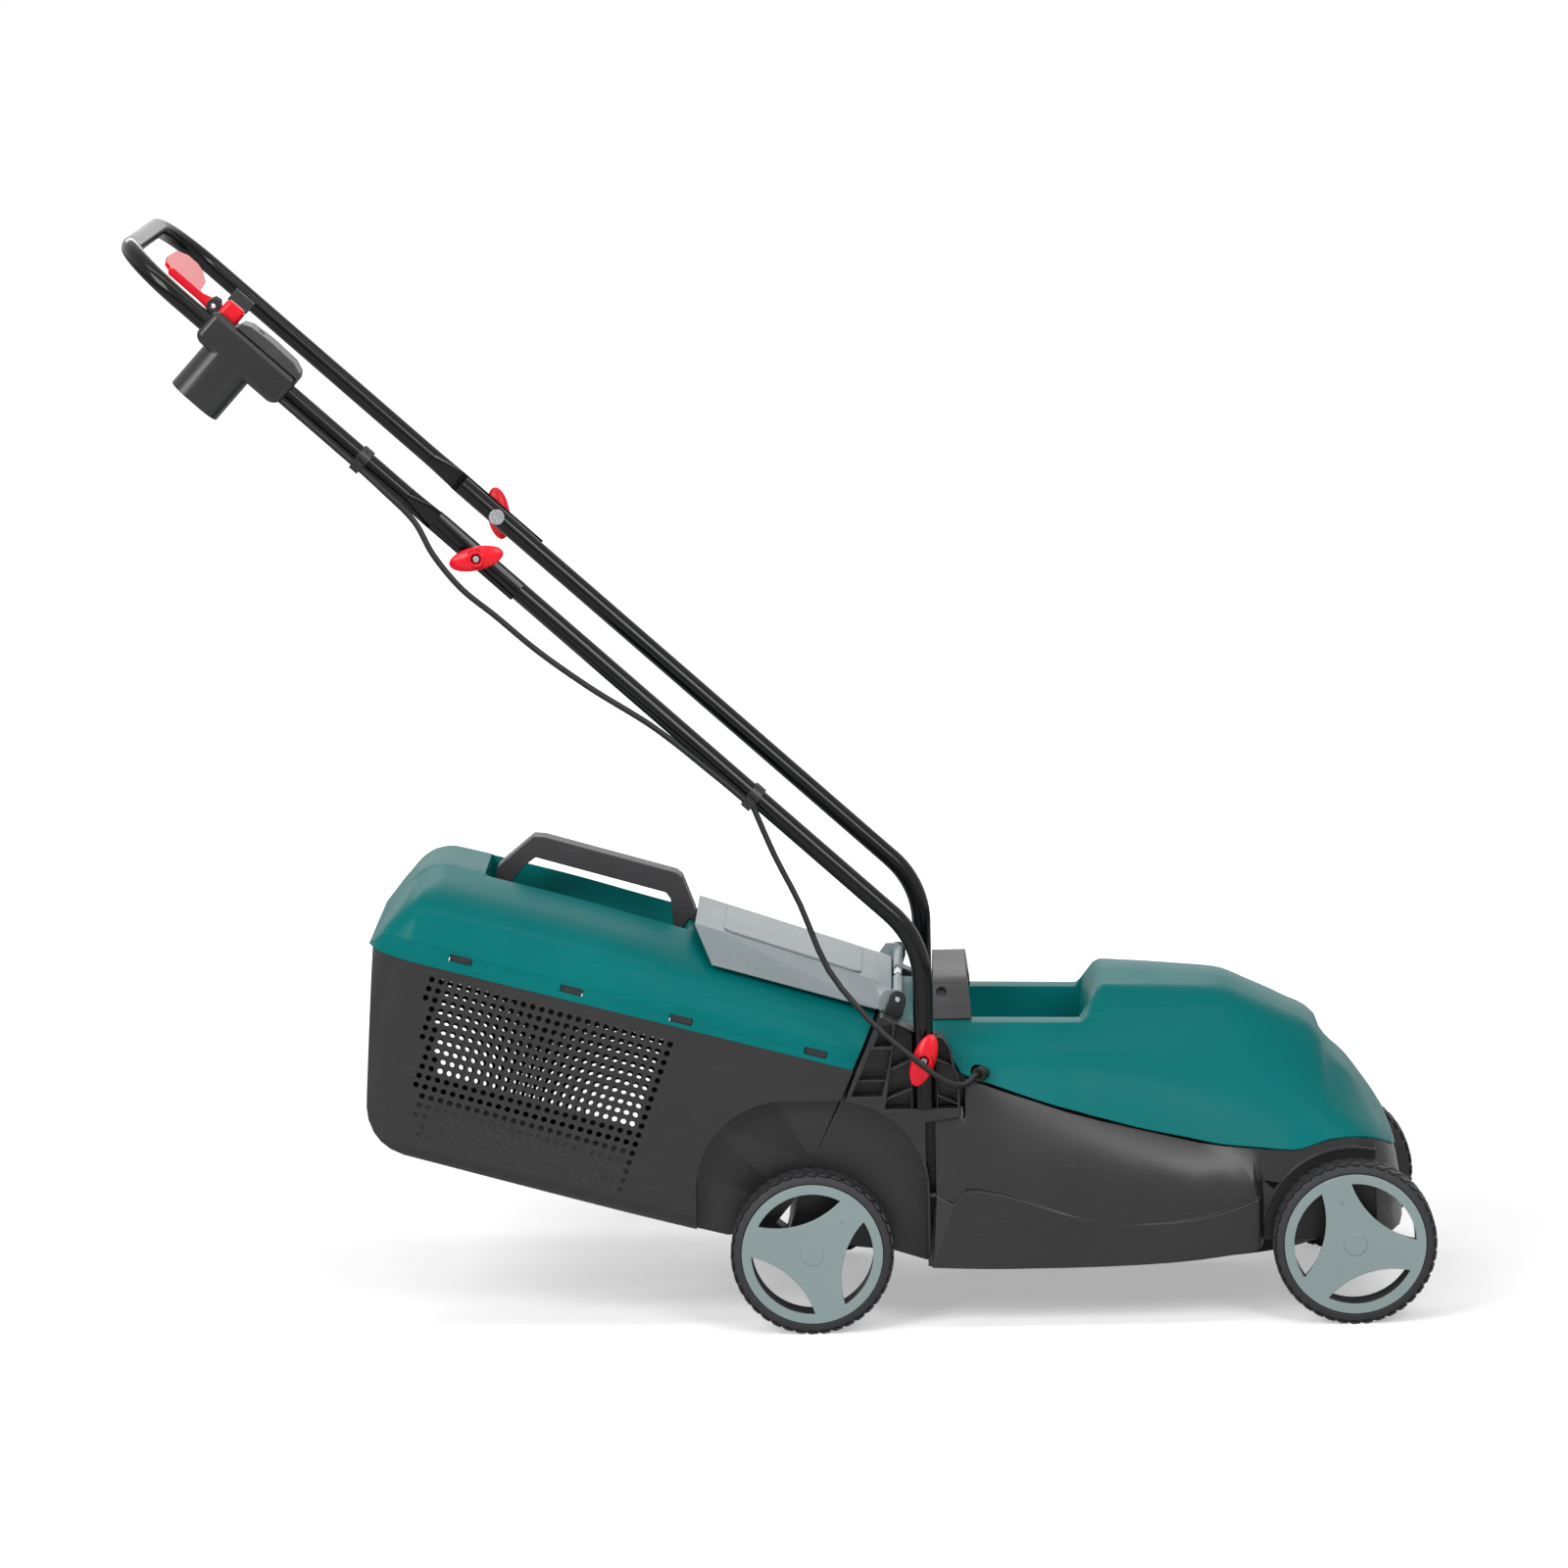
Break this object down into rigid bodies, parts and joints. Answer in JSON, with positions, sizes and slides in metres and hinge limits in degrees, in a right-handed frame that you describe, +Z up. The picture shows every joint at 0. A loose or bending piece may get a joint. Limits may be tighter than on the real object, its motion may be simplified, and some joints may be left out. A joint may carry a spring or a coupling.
{
  "type": "rotary lawn mower",
  "caption": "Compact corded rotary lawn mower: moulded deck and motor cover, rear grass box under a hinged flap, folding tube handle with switch box, lever and mains inlet.",
  "frame": {"origin": "on the ground under the middle of the whole mower's bounding box", "axes": "+X forward along the direction of travel, +Y to the machine's left, +Z up"},
  "size_m": [1.2558, 0.4197, 1.0811],
  "materials": {
    "green_plastic": "semi-gloss",
    "black_plastic": "satin",
    "grey_plastic": "satin",
    "dark_plastic": "satin",
    "red_plastic": "semi-gloss",
    "tube_paint": "gloss",
    "zinc_steel": "zinc plated",
    "die_cast": "cast",
    "cable_rubber": "matte"
  },
  "bodies": {
    "chassis": {"deck_shell": "black_plastic", "motor_cover": "green_plastic", "carry_handle": "dark_plastic", "deck_screws": "zinc_steel", "cable_grommet": "cable_rubber", "motor_lower_bracket": "die_cast", "motor_upper_bracket": "die_cast", "motor_stator": "zinc_steel", "lower_bearing": "zinc_steel", "upper_bearing": "zinc_steel", "run_capacitor": "grey_plastic", "front_axle": "zinc_steel", "rear_axle": "zinc_steel", "wheel_retainers": "zinc_steel", "flap_pin": "zinc_steel", "flap_spring": "zinc_steel", "lower_tube_left": "tube_paint", "lower_tube_right": "tube_paint", "base_bolts": "zinc_steel", "cable_lower": "cable_rubber", "cable_clip_lower": "black_plastic"},
    "spindle": {"motor_rotor": "zinc_steel", "motor_shaft": "zinc_steel", "cooling_fan": "dark_plastic", "blade_carrier": "die_cast", "blade": "zinc_steel", "blade_washer": "zinc_steel", "blade_bolt": "zinc_steel"},
    "front_left": {"front_left_wheel": "black_plastic", "front_left_hubcap": "grey_plastic"},
    "front_right": {"front_right_wheel": "black_plastic", "front_right_hubcap": "grey_plastic"},
    "rear_left": {"rear_left_wheel": "black_plastic", "rear_left_hubcap": "grey_plastic"},
    "rear_right": {"rear_right_wheel": "black_plastic", "rear_right_hubcap": "grey_plastic"},
    "flap": {"rear_flap": "grey_plastic"},
    "box": {"grass_box": "black_plastic", "grass_box_lid": "green_plastic", "grass_box_handle": "grey_plastic"},
    "handle": {"upper_handle": "tube_paint", "mid_bolts": "zinc_steel", "switch_housing": "black_plastic", "switch_cover": "grey_plastic", "lever_bracket": "black_plastic", "microswitch": "dark_plastic", "inlet_pins": "zinc_steel", "switch_screws": "zinc_steel", "cable_upper": "cable_rubber", "cable_clip_upper": "black_plastic", "cable_fold": "cable_rubber"},
    "lever": {"switch_lever": "red_plastic"},
    "button": {"lock_button": "red_plastic"},
    "knob_mid_left": {"mid_knob_left": "red_plastic"},
    "knob_mid_right": {"mid_knob_right": "red_plastic"},
    "knob_base_left": {"base_knob_left": "red_plastic"},
    "knob_base_right": {"base_knob_right": "red_plastic"}
  },
  "joints": [
    {"name": "front_left_spin", "type": "hinge", "parent": "chassis", "child": "front_left", "pos_m": [0.548, 0.1785, 0.08], "axis": [0, 1, 0], "continuous": true},
    {"name": "front_right_spin", "type": "hinge", "parent": "chassis", "child": "front_right", "pos_m": [0.548, -0.1785, 0.08], "axis": [0, 1, 0], "continuous": true},
    {"name": "rear_left_spin", "type": "hinge", "parent": "chassis", "child": "rear_left", "pos_m": [0.019, 0.1785, 0.08], "axis": [0, 1, 0], "continuous": true},
    {"name": "rear_right_spin", "type": "hinge", "parent": "chassis", "child": "rear_right", "pos_m": [0.019, -0.1785, 0.08], "axis": [0, 1, 0], "continuous": true},
    {"name": "blade_spin", "type": "hinge", "parent": "chassis", "child": "spindle", "pos_m": [0.374, 0, 0.1], "axis": [0, 0, 1], "continuous": true},
    {"name": "flap_hinge", "type": "hinge", "parent": "chassis", "child": "flap", "pos_m": [0.107, 0, 0.322], "axis": [0, 1, 0], "range_deg": [0, 75], "stiffness_Nm_per_rad": 0.08, "springref_deg": -20.05},
    {"name": "box_lift", "type": "slide", "parent": "chassis", "child": "box", "axis": [-0.965, 0, 0.2622], "range_m": [0, 0.15]},
    {"name": "handle_fold", "type": "hinge", "parent": "chassis", "child": "handle", "pos_m": [-0.28875, 0, 0.76959], "axis": [0, 1, 0], "range_deg": [0, 150], "deforming": ["cable_fold"]},
    {"name": "lever_squeeze", "type": "hinge", "parent": "handle", "child": "lever", "pos_m": [-0.53592, -0.17, 1.01643], "axis": [0, -1, 0], "range_deg": [0, 10], "stiffness_Nm_per_rad": 0.3, "springref_deg": -6.88},
    {"name": "lock_press", "type": "slide", "parent": "handle", "child": "button", "axis": [-0.6756, 0, -0.7373], "range_m": [0, 0.003], "stiffness_N_per_m": 300, "springref_m": -0.002},
    {"name": "knob_mid_left_turn", "type": "hinge", "parent": "handle", "child": "knob_mid_left", "pos_m": [-0.28875, 0.19, 0.76959], "axis": [0, 1, 0], "continuous": true},
    {"name": "knob_base_left_turn", "type": "hinge", "parent": "chassis", "child": "knob_base_left", "pos_m": [0.1315, 0.19, 0.27], "axis": [0, 1, 0], "continuous": true},
    {"name": "knob_mid_right_turn", "type": "hinge", "parent": "handle", "child": "knob_mid_right", "pos_m": [-0.28875, -0.19, 0.76959], "axis": [0, 1, 0], "continuous": true},
    {"name": "knob_base_right_turn", "type": "hinge", "parent": "chassis", "child": "knob_base_right", "pos_m": [0.1315, -0.19, 0.27], "axis": [0, 1, 0], "continuous": true}
  ]
}
